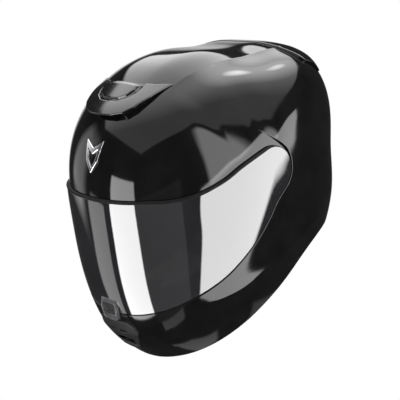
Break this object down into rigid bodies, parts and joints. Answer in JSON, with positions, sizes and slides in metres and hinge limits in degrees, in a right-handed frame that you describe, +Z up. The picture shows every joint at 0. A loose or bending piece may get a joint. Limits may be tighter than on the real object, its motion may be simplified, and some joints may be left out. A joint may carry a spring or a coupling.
{
  "type": "full-face motorcycle helmet",
  "caption": "Full-face motorcycle helmet with a smoked visor that lifts on side pivots, sliding vents, foam and fabric lining and a quick-release chin strap.",
  "frame": {"origin": "centre of the footprint, on the surface that the helmet stands on", "axes": "+Z up, the face opening looks along -Y, +X is the wearer's left"},
  "size_m": [0.2464, 0.3501, 0.2866],
  "materials": {
    "shell_gloss": "deep black gloss lacquer",
    "vent_gloss": "black gloss moulding",
    "impact_foam": "matte expanded foam",
    "comfort_fabric": "brushed knitted lining",
    "curtain_fabric": "woven mesh",
    "matte_black": "fine moulded texture",
    "seal_rubber": "satin rubber",
    "trim_rubber": "satin grey rubber",
    "badge_chrome": "polished",
    "visor_smoke": "dark smoked, polished hard coat",
    "tab_grey": "polished grey moulding",
    "steel": "satin",
    "lever_red": "moulded red",
    "webbing": "woven strap"
  },
  "bodies": {
    "helmet": {"outer_shell": "shell_gloss", "impact_liner": "impact_foam", "chin_liner": "impact_foam", "crown_pad": "comfort_fabric", "cheek_pad_left": "comfort_fabric", "cheek_pad_right": "comfort_fabric", "neck_roll": "comfort_fabric", "chin_curtain": "curtain_fabric", "breath_guard": "matte_black", "eyeport_seal": "seal_rubber", "edge_trim": "trim_rubber", "brow_badge": "badge_chrome", "top_vent_cowl": "shell_gloss", "chin_vent_housing": "matte_black", "chin_vent_mesh": "matte_black", "rear_spoiler": "shell_gloss", "rear_vent_mesh": "matte_black", "pivot_plate_left": "matte_black", "pivot_plate_right": "matte_black", "pivot_screws": "steel", "strap_left": "webbing", "strap_right": "webbing", "strap_anchors": "steel", "buckle_base": "matte_black", "buckle_pin": "steel", "buckle_tongue": "matte_black"},
    "visor_set": {"visor": "visor_smoke", "visor_lift_tab": "tab_grey", "visor_hub_left": "matte_black", "visor_hub_right": "matte_black"},
    "top_vent_slide_body": {"top_vent_slider": "vent_gloss"},
    "chin_vent_slide_body": {"chin_vent_shutter": "matte_black"},
    "release_left_body": {"release_lever_left": "lever_red"},
    "release_right_body": {"release_lever_right": "lever_red"},
    "buckle_lever_body": {"buckle_lever": "lever_red"}
  },
  "joints": [
    {"name": "visor_hinge", "type": "hinge", "parent": "helmet", "child": "visor_set", "pos_m": [0, 0.0145, 0.154], "axis": [-1, 0, 0], "range_deg": [0, 56]},
    {"name": "top_vent_slide", "type": "slide", "parent": "helmet", "child": "top_vent_slide_body", "axis": [0, 0.9651, 0.262], "range_m": [0, 0.006]},
    {"name": "chin_vent_slide", "type": "slide", "parent": "helmet", "child": "chin_vent_slide_body", "axis": [0, -0.1994, 0.9799], "range_m": [0, 0.007]},
    {"name": "release_left", "type": "slide", "parent": "helmet", "child": "release_left_body", "axis": [0, 1, 0], "range_m": [0, 0.004], "stiffness_N_per_m": 60},
    {"name": "release_right", "type": "slide", "parent": "helmet", "child": "release_right_body", "axis": [0, 1, 0], "range_m": [0, 0.004], "stiffness_N_per_m": 60},
    {"name": "buckle_lever_hinge", "type": "hinge", "parent": "helmet", "child": "buckle_lever_body", "pos_m": [0.016, 0.0025, 0.0125], "axis": [0, -1, 0], "range_deg": [0, 40], "stiffness_Nm_per_rad": 0.05}
  ]
}
